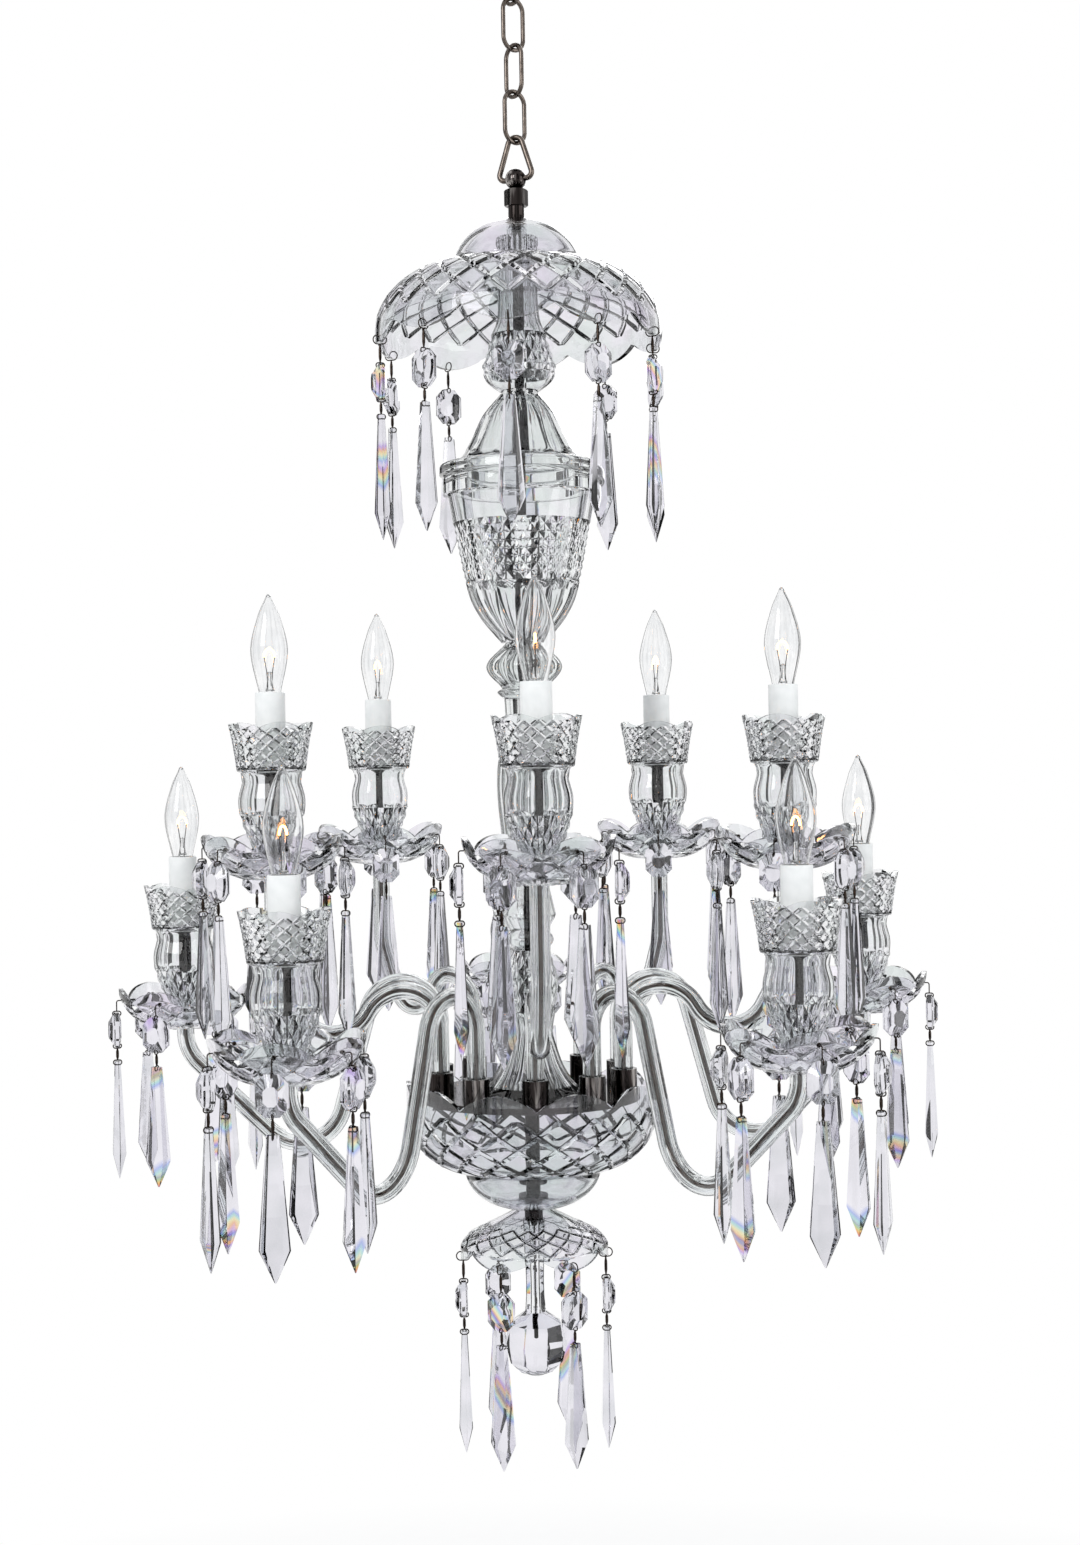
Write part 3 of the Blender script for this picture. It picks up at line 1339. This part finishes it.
@dataclass(frozen=True)
class CandleTiers:
    """The ten candle units, five to a tier."""

    unit: CandleUnit = CandleUnit()

    def places(self) -> list[tuple[str, str, Matrix]]:
        """Tier, name and place of every unit, in metres."""
        found = []
        for tier in (UPPER_TIER, LOWER_TIER):
            shift = Matrix.Translation((tier.reach * MM, 0.0, foot_of(f"{tier.name}_drip_pans") * MM))
            for number, angle in enumerate(even_angles(ARMS_TO_A_TIER, tier.turn), 1):
                found.append((tier.name, f"{tier.name}_{number}", facing(angle) @ shift))
        return found

    def build(self) -> None:
        """Builds every unit from shared meshes."""
        unit = self.unit
        pieces = (
            ("pan", unit.pan().mesh("drip_pan", THICK_CRYSTAL), "{}_drip_pans", "crystal"),
            ("vase", unit.vase().mesh("candle_vase", CUT_CRYSTAL), "{}_candle_vases", "crystal"),
            ("lamp_rod", unit.rod().mesh("lamp_rod", BLACKENED_STEEL), "lamp_rods", "rod_steel"),
            ("sleeve", unit.sleeve().mesh("candle_sleeve", WHITE_SLEEVE), "candle_sleeves", "candle_white"),
            ("bulb", unit.bulb().mesh("bulb", BULB_GLASS, PIN_WIRE, HOT_TUNGSTEN), "bulbs", "bulb_glass"),
            ("bulb_cap", unit.cap().mesh("bulb_cap", ANTIQUE_NICKEL), "bulbs", "chain_nickel"),
        )
        for tier, name, place in self.places():
            for kind, mesh, node, slot in pieces:
                show(mesh, f"{kind}_{name}", node.format(tier), place)


# --- Pendant strings ----------------------------------------------------------
@dataclass(frozen=True)
class Pendant:
    """Octagon and spear prism on wire pins, hung at x = 0 with the rim hole at z = 0."""

    wire_r: float = 0.55
    rim_eye_r: float = 4.0
    rim_eye_half_long: float = 2.0
    glass_eye_r: float = 2.2
    glass_eye_half_long: float = 1.6
    shank_r: float = 1.35
    octagon_width: float = 25.0
    octagon_length: float = 32.0
    octagon_cut: float = 0.28              # share of the width that each corner loses
    octagon_levels: Shares = ((0.46, 7.6), (1.0, 1.8), (1.0, -1.8), (0.7, -3.4))   # share of the plan, depth
    hole_edge: float = 3.2
    prism_width: float = 24.0
    prism_bevel: float = 0.31              # share of the width where a bevel starts
    prism_thickness: float = 12.0
    prism_edge: float = 0.8
    prism_levels: Shares = ((1.2, 109.0), (24.0, 85.0), (10.0, 0.0))     # width, drop from its top
    prism_hole_edge: float = 3.4
    pin_gap: float = 13.0
    bend_r: float = 1.8
    head_r: float = 1.8

    def octagon(self, top_z: float) -> Draft:
        """Long octagonal bead: eight bevels round a table, over a flat back."""
        levels = []
        for scale, x in self.octagon_levels:
            wide, high = self.octagon_width / 2 * scale, self.octagon_length / 2 * scale
            cut = self.octagon_width * self.octagon_cut * scale
            plan = [(wide - cut, high), (wide, high - cut), (wide, cut - high), (wide - cut, -high)]
            plan += [(-y, z) for y, z in plan[::-1]]
            levels.append([(x, y, z + top_z - self.octagon_length / 2) for y, z in plan])
        return Draft().skin(levels)

    def prism(self, top_z: float) -> Draft:
        """Spear: a bevelled section that widens to its shoulder and ends in a point."""
        levels = []
        for width, drop in self.prism_levels:
            thick = self.prism_thickness * width / self.prism_width / 2
            edge = min(self.prism_edge, thick * 0.3)
            bevel = width * self.prism_bevel
            plan = [(thick, bevel), (edge, width / 2), (-edge, width / 2), (-thick, bevel)]
            plan += [(x, -y) for x, y in plan[::-1]]
            levels.append([(x, y, top_z - drop) for x, y in plan])
        return Draft().skin(levels)

    def glass(self, drop: float) -> Draft:
        """Both glasses of a string whose octagon hangs that far under the rim's hole."""
        draft = self.octagon(-drop)
        draft.merge(self.prism(-drop - self.octagon_length - self.pin_gap))
        return draft

    def eye(self, top_z: float, radius: float, half_long: float) -> Draft:
        """Small closed eye of wire that stands across the string."""
        path = arc((0.0, top_z - radius), (radius, radius), FULL_TURN, 20)
        for point in path:
            if abs(point.x) > radius * 0.01:
                point.x += math.copysign(half_long, point.x)
        return swept(path, (self.wire_r,), 8)

    def glass_eye(self, foot_z: float) -> Draft:
        """Eye through the hole of a glass, whose wire ends that low."""
        return self.eye(foot_z + 2 * self.glass_eye_r, self.glass_eye_r, self.glass_eye_half_long)

    def shank(self, high: float, low: float) -> Draft:
        """Tapered wire between two eyes."""
        return turned(levelled(
            ((self.wire_r, 0.0), (self.shank_r, 0.3), (self.shank_r, 0.7), (self.wire_r, 1.0)), high, low,
        ), 10)

    def pin(self, octagon_top: float) -> Draft:
        """Wire between the octagon and the prism."""
        octagon_foot = octagon_top - self.octagon_length
        upper = octagon_foot + self.hole_edge - 2 * self.glass_eye_r
        lower = octagon_foot - self.pin_gap - self.prism_hole_edge
        draft = self.glass_eye(upper)
        draft.merge(self.glass_eye(lower))
        draft.merge(self.shank(upper + 0.4, lower + 2 * self.glass_eye_r - 0.4))
        return draft

    def hook(self, drop: float) -> Draft:
        """Wires of a string that hangs on a hook through the rim's hole."""
        hole_z = -drop - self.hole_edge
        draft = self.eye(self.wire_r, self.rim_eye_r, self.rim_eye_half_long)
        draft.merge(self.glass_eye(hole_z))
        draft.merge(self.shank(-2 * self.rim_eye_r + 1.0, hole_z + 2 * self.glass_eye_r - 0.4))
        draft.merge(self.pin(-drop))
        return draft

    def bent_pin(self, drop: float, reach: float) -> Draft:
        """Wires of a string that hangs on a pin through a pan's hole, bent down to the octagon."""
        hole_z = -drop - self.hole_edge
        path = [Vector((0.0, 0.0, hole_z + 2 * self.glass_eye_r - 0.3))]
        path += arc((-self.bend_r, -self.bend_r), (self.bend_r, self.bend_r), 90.0, 4)
        path.append(Vector((-reach, 0.0, 0.0)))
        draft = swept(path, (self.wire_r,), 8)
        draft.merge(self.glass_eye(hole_z))
        turns = [math.pi * step / 8 for step in range(1, 8)]
        head = turned([(self.head_r * math.sin(turn), self.head_r * math.cos(turn)) for turn in turns], 12)
        draft.merge(head, Matrix.Translation((-reach, 0.0, 0.0)))
        draft.merge(self.pin(-drop))
        return draft


@dataclass(frozen=True)
class Strings:
    """All pendant strings: ten at the canopy, six at the small canopy and six to each pan."""

    pendant: Pendant = Pendant()
    tiers: CandleTiers = CandleTiers()
    rim_hole_rise: float = 6.0
    rim_drop: float = 25.0                 # from a rim's hole to the octagon
    canopy_r: float = 125.5
    canopy_turn: float = -6.0
    skirt_r: float = 63.75
    skirt_turn: float = 30.0
    pan_drop: float = 11.0
    pan_hole_rise: float = 28.0
    pin_reach: float = 6.0
    pin_rest: float = 2.1                  # from the pan's wall to the middle of the pin's head
    spectral_every: int = 3                # which strings split the light

    def build(self) -> None:
        """Builds every string."""
        canopy_tags = [f"{number:02d}" for number in range(1, 11)]
        skirt_tags = [f"{number}" for number in range(1, 7)]
        self.swinging("canopy", "canopy", self.canopy_r, self.canopy_turn, canopy_tags)
        self.swinging("bottom", "lower_canopy", self.skirt_r, self.skirt_turn, skirt_tags)
        self.pans()

    def swinging(self, group: str, rim_node: str, radius: float, turn: float, tags: Sequence[str]) -> None:
        """Strings that swing from the lobes of a canopy.

        Args:
            group: First word of the strings' names.
            rim_node: The node with the rim that they hang from.
            radius: Distance of their hooks from the axis.
            turn: Angle of the first.
            tags: Last words of their names, in order.
        """
        level = foot_of(rim_node) + self.rim_hole_rise
        wires = self.pendant.hook(self.rim_drop).mesh(f"{group}_string_wire", PIN_WIRE)
        plain, spectral = (
            self.pendant.glass(self.rim_drop).mesh(f"{group}_string_glass", finish)
            for finish in (PRISM_CRYSTAL, SPECTRAL_CRYSTAL)
        )
        shift = Matrix.Translation((radius * MM, 0.0, level * MM))
        for number, (tag, angle) in enumerate(zip(tags, even_angles(len(tags), turn)), 1):
            glass = plain if number % self.spectral_every else spectral
            body, node, place = f"{group}_string_{tag}", f"{group}_pendant_{tag}", facing(angle) @ shift
            show(glass, f"{body}_glass", node, place, body)
            show(wires, f"{body}_wire", node, place, body)

    def pans(self) -> None:
        """Six fixed strings round every pan."""
        unit = self.tiers.unit
        share = 1.0 - self.pan_hole_rise / unit.pan_height
        outer_r = unit.boss_r + (unit.pan_r - unit.boss_r) * math.sqrt(1.0 - share ** 2)
        place_r = outer_r - unit.pan_wall / 2 + self.pin_reach
        wire = self.pendant.bent_pin(self.pan_drop, self.pin_reach + unit.pan_wall / 2 + self.pin_rest)
        glass = self.pendant.glass(self.pan_drop)
        wires, glasses = Draft(), Draft()
        for number, angle in enumerate(even_angles(unit.lobes, unit.lobe_turn())):
            place = facing(angle) @ Matrix.Translation((place_r, 0.0, self.pan_hole_rise))
            wires.merge(wire, place)
            glasses.merge(glass, place, int(number % self.spectral_every == 1))
        wire_mesh = wires.mesh("pan_string_wires", PIN_WIRE)
        glass_mesh = glasses.mesh("pan_string_glass", PRISM_CRYSTAL, SPECTRAL_CRYSTAL)
        for tier, name, place in self.tiers.places():
            show(glass_mesh, f"pan_strings_{name}_glass", f"{tier}_pan_pendants", place)
            show(wire_mesh, f"pan_strings_{name}_wire", "pan_pendant_wires", place)


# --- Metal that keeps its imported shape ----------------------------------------
@dataclass(frozen=True)
class Fittings:
    """Pieces of the frame that only need their finish."""

    finishes: tuple[tuple[Finish, tuple[str, ...]], ...] = (
        (BLACK_NICKEL, ("mounting_bar", "ceiling_nipple", "ceiling_rose")),
        (BLACK_NICKEL, ("arm_plate", "bowl_washer", "stem_nut")),
        (BUFFED_NICKEL, ("swivel_knob", "collar_nut", "neck_coupling", "arm_cups")),
        (ANTIQUE_NICKEL, ("ceiling_loop", "triangle_loop")),
        (ANTIQUE_NICKEL, tuple(f"chain_link_{number}" for number in range(1, 5))),
        (BLACKENED_STEEL, ("bowl_spacer",)),
        (PHENOLIC, ("lamp_holders",)),
    )

    def build(self) -> None:
        """Gives each kept node its finish."""
        for finish, nodes in self.finishes:
            for name in nodes:
                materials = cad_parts[name].data.materials
                materials.clear()
                materials.append(finish.material())
                LOG.info("%s keeps its shape in %s", name, finish.name)


# --- Studio -------------------------------------------------------------------
@dataclass(frozen=True)
class Lamp:
    """A square area lamp, in metres and watts."""

    name: str
    power: float
    size: float
    place: Point


@dataclass(frozen=True)
class Studio:
    """Pale floor, soft lamps, dark cards that draw the glass's edges, and the camera."""

    lens: float = 50.1
    sensor: float = 36.0
    distance: float = 1920.0
    eye_level: float = -790.0
    orbit: float = -2.2                    # the camera stands this far round to the left
    aim_right: float = 0.37
    aim_down: float = 0.3
    roll: float = -1.0
    far_clip: float = 100.0                # in metres
    floor_drop: float = 900.0              # under the lowest point of the chandelier
    floor_r: float = 9000.0
    floor_fade: tuple[float, float] = (2.35, 3.4)      # where it runs out into white, in metres
    cards: int = 8
    card_r: float = 9000.0
    card_half_width: float = 7.0           # degrees
    card_top: float = 9000.0
    apron: tuple[float, float] = (1100.0, 4200.0)      # near and far end of a card's foot on the floor
    apron_rise: float = 20.0
    lamps: tuple[Lamp, ...] = (
        Lamp("key_lamp", 42.0, 1.6, (-1.8, -2.2, 0.6)),
        Lamp("fill_lamp", 22.0, 2.0, (2.4, -1.2, -0.4)),
        Lamp("back_lamp", 24.0, 1.6, (0.6, 2.4, 0.7)),
    )

    def build(self) -> None:
        """Builds the set."""
        self.world()
        self.floor()
        self.dark_cards()
        for lamp in self.lamps:
            self.light(lamp)
        self.camera()

    def seen_or_lit(self, tree: Tree, ordinary: Socket, plain: Socket) -> Socket:
        """One shader for what the camera sees, straight, in mirrors and through glass; another for the light.

        Args:
            tree: The node tree.
            ordinary: The shader that lights the object.
            plain: The shader that is seen.

        Returns:
            The mixed shader.
        """
        path = add_node(tree, "ShaderNodeLightPath").outputs
        seen = path["Is Camera Ray"]
        for ray in ("Is Glossy Ray", "Is Transmission Ray"):
            seen = add_node(tree, "ShaderNodeMath", {0: seen, 1: path[ray]}, operation="MAXIMUM").outputs[0]
        return add_node(tree, "ShaderNodeMixShader", {0: seen, 1: ordinary, 2: plain}).outputs[0]

    def world(self) -> None:
        """White surroundings with a softer light of their own."""
        world = bpy.data.worlds.new("studio")
        bpy.context.scene.world = world
        tree = empty_tree(world)
        light = add_node(tree, "ShaderNodeBackground", {"Color": linear("#EEF1F4"), "Strength": 0.75})
        white = add_node(tree, "ShaderNodeBackground", {"Color": linear("#FFFFFF"), "Strength": 1.0})
        mixed = self.seen_or_lit(tree, light.outputs[0], white.outputs[0])
        add_node(tree, "ShaderNodeOutputWorld", {"Surface": mixed})

    def floor_level(self) -> float:
        """Height of the floor, in millimetres."""
        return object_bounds()[0][2] / MM - self.floor_drop

    def floor(self) -> None:
        """Pale matt floor that runs out into the white."""
        material = bpy.data.materials.new("painted_studio_floor")
        tree = empty_tree(material)
        place = add_node(tree, "ShaderNodeTexCoord").outputs["Object"]
        grain = add_node(tree, "ShaderNodeTexNoise", {"Vector": place, "Scale": 30.0, "Detail": 4.0})
        paint = add_node(tree, "ShaderNodeValToRGB", {"Fac": grain.outputs["Fac"]})
        set_ramp(paint, [(NOISE_LOW, "#ECEDEE"), (NOISE_HIGH, "#F3F4F4")])
        inputs = {"Base Color": paint.outputs["Color"], "Roughness": 0.8}
        matt = add_node(tree, "ShaderNodeBsdfPrincipled", inputs)
        white = add_node(tree, "ShaderNodeEmission", {"Color": linear("#FFFFFF"), "Strength": 1.0})
        reach = add_node(tree, "ShaderNodeVectorMath", {0: place}, operation="LENGTH").outputs["Value"]
        near, far = self.floor_fade
        fade = add_node(tree, "ShaderNodeMapRange", {"Value": reach, "From Min": near, "From Max": far})
        inputs = {0: fade.outputs["Result"], 1: matt.outputs[0], 2: white.outputs[0]}
        mixed = add_node(tree, "ShaderNodeMixShader", inputs)
        seen = self.seen_or_lit(tree, matt.outputs[0], mixed.outputs[0])
        add_node(tree, "ShaderNodeOutputMaterial", {"Surface": seen})
        draft = Draft()
        draft.face(draft.ring(circle(self.floor_r, self.floor_level(), 96)))
        mesh = draft.mesh("studio_floor")
        mesh.materials.append(material)
        self.place_stage(mesh)

    def place_stage(self, mesh: bpy.types.Mesh) -> bpy.types.Object:
        """Puts a stage mesh in the scene."""
        piece = bpy.data.objects.new(mesh.name, mesh)
        bpy.context.scene.collection.objects.link(piece)
        piece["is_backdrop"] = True
        return piece

    def dark_cards(self) -> None:
        """Black cards all round, each with a foot on the floor, seen only in and through glass and metal."""
        draft = Draft()
        low = self.floor_level() + self.apron_rise
        near, far = self.apron
        plans = ((near, far, low), (self.card_r, self.card_r, self.card_top))
        for angle in even_angles(self.cards, 180.0 / self.cards):
            left, right = angle - self.card_half_width, angle + self.card_half_width
            for inner, outer, high in plans:
                corners = [polar(inner, left, low), polar(inner, right, low)]
                corners += [polar(outer, right, high), polar(outer, left, high)]
                draft.face(draft.ring(corners))
        piece = self.place_stage(draft.mesh("dark_cards", BLACK_FELT))
        piece.visible_camera = False
        piece.visible_diffuse = False
        piece.visible_shadow = False

    def light(self, lamp: Lamp) -> None:
        """Hangs a lamp that faces the object. It isn't seen through glass, which would turn white."""
        data = bpy.data.lights.new(lamp.name, "AREA")
        data.energy = lamp.power
        data.size = lamp.size
        holder = bpy.data.objects.new(lamp.name, data)
        place = Vector(lamp.place)
        aim = Vector((0.0, 0.0, self.eye_level * MM))
        holder.location = place
        holder.rotation_euler = (aim - place).to_track_quat("-Z", "Y").to_euler()
        holder.visible_transmission = False
        bpy.context.scene.collection.objects.link(holder)

    def camera(self) -> None:
        """The camera at the photograph's place and lens."""
        data = bpy.data.cameras.new("photo_camera")
        data.lens = self.lens
        data.sensor_width = self.sensor
        data.clip_end = self.far_clip
        holder = bpy.data.objects.new("photo_camera", data)
        bpy.context.scene.collection.objects.link(holder)
        shift = Matrix.Translation((0.0, -self.distance * MM, self.eye_level * MM))
        turns = ((self.orbit, "Z"), (-self.aim_right, "Z"), (90.0 - self.aim_down, "X"), (self.roll, "Z"))
        orbit, yaw, pitch, roll = (Matrix.Rotation(math.radians(angle), 4, axis) for angle, axis in turns)
        holder.matrix_world = orbit @ shift @ yaw @ pitch @ roll
        bpy.context.scene.camera = holder


SUB_ASSEMBLIES = (
    Fittings(),
    StemRod(),
    Canopy("canopy", radius=128.0, wall=5.0, lobes=10, lobe_depth=14.0, turn=-6.0,
           diamonds=24, rows=3.0, mitre_depth=2.4, mitre=0.1, columns=14),
    Column(),
    Arms(),
    CandleTiers(),
    Bowl("bowl", radius=111.6, wall=4.6, lobes=10, lobe_depth=14.0, turn=18.0,
         diamonds=20, rows=2.5, mitre_depth=2.8, mitre=0.12, columns=16),
    LowerCanopy("lower_canopy", radius=66.0, wall=4.5, lobes=6, lobe_depth=13.0, turn=30.0,
                diamonds=18, rows=2.0, mitre_depth=2.0, mitre=0.1, columns=12),
    DropStemAndBall(),
    Strings(),
    Studio(),
)


def main() -> None:
    """Builds the chandelier's looks and the studio."""
    logging.basicConfig(level=logging.INFO, format="%(message)s")
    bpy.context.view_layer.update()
    bpy.context.scene.view_settings.view_transform = "Standard"
    for sub_assembly in SUB_ASSEMBLIES:
        LOG.info("building %s", type(sub_assembly).__name__)
        sub_assembly.build()


if __name__ == "__main__":
    main()
